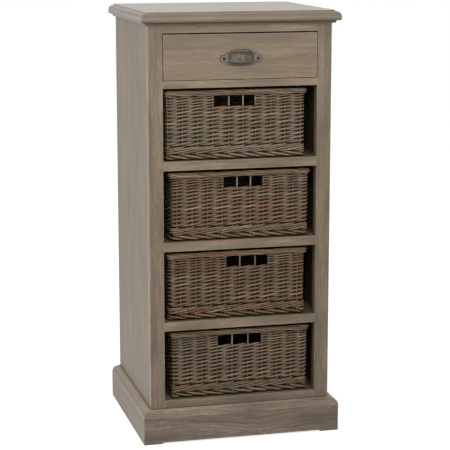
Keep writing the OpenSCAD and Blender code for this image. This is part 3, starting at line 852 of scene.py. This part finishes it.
# Basket walls
# Pairing: two thin rods twist round each other between the stakes, row over row. Beside
# the hand hole they turn back round its last stake.
rows_below, rows_beside = 10, 4
hole_low, wall_top = 0.1155, 0.1395
row_taper = 0.12
row_share = np.arange(rows_below + 1) / rows_below
row_edges = foot_top + (hole_low - foot_top) * row_share * (1 + row_taper * (1 - row_share))
row_edges = np.append(row_edges, np.linspace(hole_low, wall_top, rows_beside + 1)[1:])
row_play, row_wobble, wall_sway = 0.0003, 0.0004, 0.0013
rod_share, rod_share_rise = 0.236, 0.0014
rod_overlap = 0.0001
back_drop, climb_ease = 0.0016, 0.3
pressed_inside, pressed_crossing, crossing_reach = 1.35, 0.24, 0.4
turn_swell, turn_points = 0.0021, 3
last_by_hole = 3


def weave_wall(basket):
    weave = RodPiece(f"weave {basket.number}", basket.shades, basket.blushes, basket.wall_tone)
    luck, count, middle = basket.luck, basket.count, basket.middle
    sway = slow_wave(luck, wall_sway, (1, 2, 3, 5))
    edges = row_edges + np.array([luck.uniform(-row_play, row_play) for edge in row_edges])
    fixed = [0, rows_below, -1]
    edges[fixed] = row_edges[fixed]
    for row in range(rows_below + rows_beside):
        height = edges[row + 1] - edges[row]
        centre = (edges[row] + edges[row + 1]) / 2
        rod_r = height * (rod_share + rod_share_rise * row)
        reach = stake_r + rod_r - rod_overlap
        own = slow_wave(luck, row_wobble, (4, 7, 9, 13))
        fade = math.sin(math.pi * min(1.0, (row + 0.5) / (rows_below + 2)))
        start = luck.randrange(2)

        def strand_line(turn, side):
            """A rod before one stake and behind the next, lower where it is behind."""
            angle = math.pi * (turn + side + start)
            before = np.cos(angle)
            run = basket.run_at(turn)
            climb = np.sin(angle)
            up = height / 4 * climb * np.abs(climb) ** climb_ease + back_drop * before / 2
            heights = centre + up + fade * sway(run) + own(run)
            # Inside and where they cross, the rods are pressed flat and close the wall
            inside = np.clip(-before, 0, 1) ** 0.5
            crossing = np.exp(-(before / crossing_reach) ** 2)
            tall = 1 + pressed_inside * inside + pressed_crossing * crossing
            return placed(run, reach * before, heights, middle), tall

        if row < rows_below:
            turn = np.arange(count * points_per_stake) / points_per_stake
            for side in (0, 1):
                line, tall = strand_line(turn, side)
                weave.tube(line, rod_r, tall=tall)
            continue
        # Beside the hole the two rods turn round the last stake and are one
        reached = np.arange((count - last_by_hole) * points_per_stake + 1)
        turn = last_by_hole + reached / points_per_stake
        ends = []
        for at_end, way in ((count, 1), (last_by_hole, -1)):
            run = basket.run_at(np.array([float(at_end)]))[0]
            sweep = np.linspace(-math.pi / 2, math.pi / 2, turn_points + 2)[1:-1]
            run = run + turn_swell * np.cos(sweep) * way
            heights = centre + fade * sway(run) + own(run) + back_drop * np.sin(sweep) / 2
            ends.append(placed(run, reach * np.sin(sweep), heights, middle))
        front_at_end = math.cos(math.pi * (turn[-1] + start)) > 0
        front_at_start = math.cos(math.pi * (turn[0] + start)) > 0
        far = ends[0][::-1] if front_at_end else ends[0]
        near = ends[1] if front_at_start else ends[1][::-1]
        one, one_tall = strand_line(turn, 0)
        other, other_tall = strand_line(turn, 1)
        line = np.concatenate([one, far, other[::-1], near])
        tall = np.concatenate([
            one_tall, np.full(len(far), one_tall[-1]),
            other_tall[::-1], np.full(len(near), one_tall[0]),
        ])
        weave.tube(line, rod_r, tall=tall)
    weave.finish(basket.body + "_weave", basket.body, basket.body + "_sides")


# Basket feet
# Two rounds of three-rod waling that climb to the right, over a foot plaited down to the
# right, all of the same willow as the walls.

# Each band: the height of its middle, how far a rod climbs either way from it, the rod's
# radius, the share of three stakes that it shows in front, where its rounds start, and how
# far it is pressed flat behind
foot_bands = (
    (0.0077, -0.0044, 0.0025, 0.46, 0.0, 0.2),
    (0.0192, 0.0046, 0.0020, 0.62, 0.3, 0.9),
    (0.0262, 0.0032, 0.0019, 0.62, 1.7, 0.9),
)
foot_rods = 3
foot_front, foot_behind = 0.0052, 0.0050
foot_rod_length = 0.16
foot_wobble = 0.0005


def plait_foot(basket):
    bands = RodPiece(f"bands {basket.number}", basket.shades, basket.blushes, basket.foot_tone)
    turn = np.arange(basket.count * points_per_stake) / points_per_stake
    run = basket.run_at(turn)
    for middle_z, climb, rod_r, shown, shift, pressed in foot_bands:
        for rod in range(foot_rods):
            phase = np.mod((turn + shift + rod) / foot_rods, 1.0)
            front = np.interp(
                phase, (0, 0.09, shown - 0.07, shown + 0.02, 0.96, 1.0), (-0.4, 1, 1, -1, -1, -0.4),
            )
            height = np.interp(phase, (0, shown, 0.82, 1.0), (-1, 1, 0.8, -1)) * climb
            own = slow_wave(basket.luck, foot_wobble, (3, 5, 8, 13))
            out = np.where(front > 0, front * (foot_front - rod_r), front * foot_behind)
            line = placed(run, out, middle_z + height + own(run), basket.middle)
            tall = 1 + pressed * np.clip(-front, 0, 1)
            bands.tube(line, rod_r, rod_length=foot_rod_length, tall=tall)
    bands.finish(basket.body + "_bands", basket.body, basket.body + "_foot")


# Basket rims
# Thin rods laid round one another over a stout one, with a rod under them inside that
# closes the wall's top.
rim_path = RoundedPath(0.313, 0.309, 0.0050)
rim_points = 420
rim_rods, rim_turns = 6, 5
rim_rod_r, rim_core_r, rim_under_r = 0.0019, 0.0034, 0.0031
rim_out, rim_up = 0.0035, 0.0044
rim_z, rim_under_z, rim_under_in = basket_h - 0.0065, 0.1427, 0.0005
rim_wobble, rim_slip = 0.0004, 0.8
rim_rod_length = 0.17
rim_sides = 7


def roll_rim(basket):
    rim = RodPiece(f"rim {basket.number}", basket.shades, basket.blushes, basket.rim_tone)
    run = np.arange(rim_points) / rim_points * rim_path.length
    place, normal = rim_path.at(run)
    for rod in range(rim_rods + 1):
        angle = 2 * math.pi * (rod / rim_rods - rim_turns * run / rim_path.length)
        angle += slow_wave(basket.luck, rim_slip, (5, 9, 14, 19))(run)
        wobble = slow_wave(basket.luck, rim_wobble, (9, 14, 19))(run)
        thin = rod < rim_rods
        flat = place + normal * (thin * rim_out * np.cos(angle))[:, None]
        heights = rim_z + thin * rim_up * np.sin(angle) + wobble
        line = moved(flat, heights, basket.middle)
        rim.tube(
            line, rim_rod_r if thin else rim_core_r, sides=rim_sides, rod_length=rim_rod_length,
        )
    run = np.arange(rim_points) / rim_points * wall.length
    out = np.full(rim_points, -rim_under_in)
    under = placed(run, out, np.full(rim_points, rim_under_z), basket.middle)
    rim.tube(under, rim_under_r, sides=rim_sides)
    rim.finish(basket.body + "_rim_rods", basket.body, basket.body + "_rim")


# Basket floors
# Thin rods over and under stout sticks, with two rods laid round the edge that tie the
# floor to the wall.
floor_half_w, floor_half_d = 0.1455, 0.1435
stick_z, stick_r, stick_points = 0.010, 0.0022, 14
sticks = 9
stick_x = np.linspace(-floor_half_w + 0.014, floor_half_w - 0.014, sticks)
floor_rods, floor_rod_r, floor_rod_wave, floor_rod_points = 66, 0.0026, 0.0017, 47
edge_path = RoundedPath(2 * floor_half_w - 0.004, 2 * floor_half_d - 0.004, 0.004)
edge_zs, edge_r, edge_points = (0.0112, 0.0165), 0.0030, 300


def weave_floor(basket):
    base = RodPiece(f"base {basket.number}", {"grey": 2, "brown": 3, "tan": 2})
    for x in stick_x:
        y = np.linspace(-floor_half_d, floor_half_d, stick_points)
        flat = np.stack([np.full(stick_points, x), y], axis=1)
        base.tube(moved(flat, stick_z, basket.middle), stick_r, closed=False)
    pitch = 2 * floor_half_d / floor_rods
    stick_gap = stick_x[1] - stick_x[0]
    for k in range(floor_rods):
        x = np.linspace(-floor_half_w, floor_half_w, floor_rod_points)
        wave = np.cos(math.pi * (x - stick_x[0]) / stick_gap + math.pi * k)
        y = -floor_half_d + pitch * (k + 0.5)
        flat = np.stack([x, np.full(floor_rod_points, y)], axis=1)
        line = moved(flat, stick_z + floor_rod_wave * wave, basket.middle)
        base.tube(line, floor_rod_r, closed=False)
    place = edge_path.at(np.arange(edge_points) / edge_points * edge_path.length)[0]
    for z in edge_zs:
        base.tube(moved(place, z, basket.middle), edge_r)
    base.finish(basket.body + "_base", basket.body, basket.body + "_floor")


for number in (1, 2, 3, 4):
    basket = Basket(number)
    set_stakes(basket)
    weave_wall(basket)
    plait_foot(basket)
    roll_rim(basket)
    weave_floor(basket)
